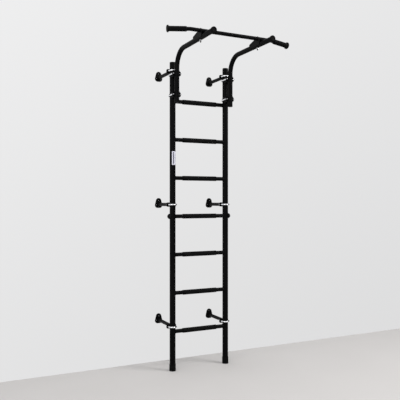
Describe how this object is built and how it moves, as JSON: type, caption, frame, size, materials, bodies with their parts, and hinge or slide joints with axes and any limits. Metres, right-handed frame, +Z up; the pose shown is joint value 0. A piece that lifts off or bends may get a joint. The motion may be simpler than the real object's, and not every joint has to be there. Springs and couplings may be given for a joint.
{
  "type": "pull up bar",
  "caption": "Wall-mounted gymnastics ladder of round black posts and rungs, with a clamp-on pull up bar on two bent arms that reach forward at its top.",
  "frame": {"origin": "on the floor, in the middle of the footprint of the whole object", "axes": "+Z up, +X to the right as seen from the user's side, +Y towards the wall"},
  "size_m": [0.9102, 0.913, 2.3225],
  "materials": {
    "frame_paint": "satin black powder coat",
    "chrome": "polished chrome",
    "zinc_hardware": "bright zinc plate",
    "bare_steel": "plain steel tube, hidden inside",
    "black_hardware": "black oxide",
    "black_plastic": "moulded black plastic",
    "foot_rubber": "matte black rubber",
    "rung_rubber": "ribbed black rubber sleeve",
    "grip_rubber": "textured black rubber grip",
    "label_film": "printed white film, no text"
  },
  "bodies": {
    "ladder": {"left_lower_post": "frame_paint", "left_upper_post": "frame_paint", "left_foot": "foot_rubber", "right_lower_post": "frame_paint", "right_upper_post": "frame_paint", "right_foot": "foot_rubber", "post_joint_sleeves": "bare_steel", "post_top_plugs": "black_plastic", "post_label": "label_film", "rung_1": "frame_paint", "rung_grip_1": "rung_rubber", "rung_2": "frame_paint", "rung_grip_2": "rung_rubber", "rung_3": "frame_paint", "rung_grip_3": "rung_rubber", "rung_4": "frame_paint", "rung_grip_4": "rung_rubber", "rung_5": "frame_paint", "rung_grip_5": "rung_rubber", "rung_6": "frame_paint", "rung_grip_6": "rung_rubber", "rung_7": "frame_paint", "rung_grip_7": "rung_rubber", "middle_rung_inserts": "bare_steel", "middle_rung_bolts": "zinc_hardware", "middle_rung_bolt_caps": "black_plastic"},
    "bar_assembly": {"left_arm_tube": "frame_paint", "left_arm_straps": "frame_paint", "left_bar_saddle": "frame_paint", "left_bar_grip": "grip_rubber", "right_arm_tube": "frame_paint", "right_arm_straps": "frame_paint", "right_bar_saddle": "frame_paint", "right_bar_grip": "grip_rubber", "arm_bottom_plugs": "black_plastic", "arm_end_caps": "grip_rubber", "arm_spacer_blocks": "black_plastic", "arm_u_bolts": "chrome", "arm_u_bolt_nuts": "black_hardware", "pull_up_bar": "frame_paint", "saddle_bolts": "black_hardware", "saddle_nuts": "zinc_hardware"},
    "lower_left_bracket": {"lower_left_wall_bracket": "frame_paint", "lower_left_u_bolt": "chrome", "lower_left_nuts": "zinc_hardware"},
    "lower_right_bracket": {"lower_right_wall_bracket": "frame_paint", "lower_right_u_bolt": "chrome", "lower_right_nuts": "zinc_hardware"},
    "middle_left_bracket": {"middle_left_wall_bracket": "frame_paint", "middle_left_u_bolt": "chrome", "middle_left_nuts": "zinc_hardware"},
    "middle_right_bracket": {"middle_right_wall_bracket": "frame_paint", "middle_right_u_bolt": "chrome", "middle_right_nuts": "zinc_hardware"},
    "upper_left_bracket": {"upper_left_wall_bracket": "frame_paint", "upper_left_u_bolt": "chrome", "upper_left_nuts": "zinc_hardware"},
    "upper_right_bracket": {"upper_right_wall_bracket": "frame_paint", "upper_right_u_bolt": "chrome", "upper_right_nuts": "zinc_hardware"}
  },
  "joints": [
    {"name": "bar_height", "type": "slide", "parent": "ladder", "child": "bar_assembly", "axis": [0, 0, 1], "range_m": [-0.008, 0.008]},
    {"name": "lower_left_bracket_height", "type": "slide", "parent": "ladder", "child": "lower_left_bracket", "axis": [0, 0, 1], "range_m": [-0.01, 0.21]},
    {"name": "lower_right_bracket_height", "type": "slide", "parent": "ladder", "child": "lower_right_bracket", "axis": [0, 0, 1], "range_m": [-0.01, 0.21]},
    {"name": "middle_left_bracket_height", "type": "slide", "parent": "ladder", "child": "middle_left_bracket", "axis": [0, 0, 1], "range_m": [-0.05, 0.16]},
    {"name": "middle_right_bracket_height", "type": "slide", "parent": "ladder", "child": "middle_right_bracket", "axis": [0, 0, 1], "range_m": [-0.05, 0.16]},
    {"name": "upper_left_bracket_height", "type": "slide", "parent": "ladder", "child": "upper_left_bracket", "axis": [0, 0, 1], "range_m": [0, 0.035]},
    {"name": "upper_right_bracket_height", "type": "slide", "parent": "ladder", "child": "upper_right_bracket", "axis": [0, 0, 1], "range_m": [0, 0.035]}
  ]
}
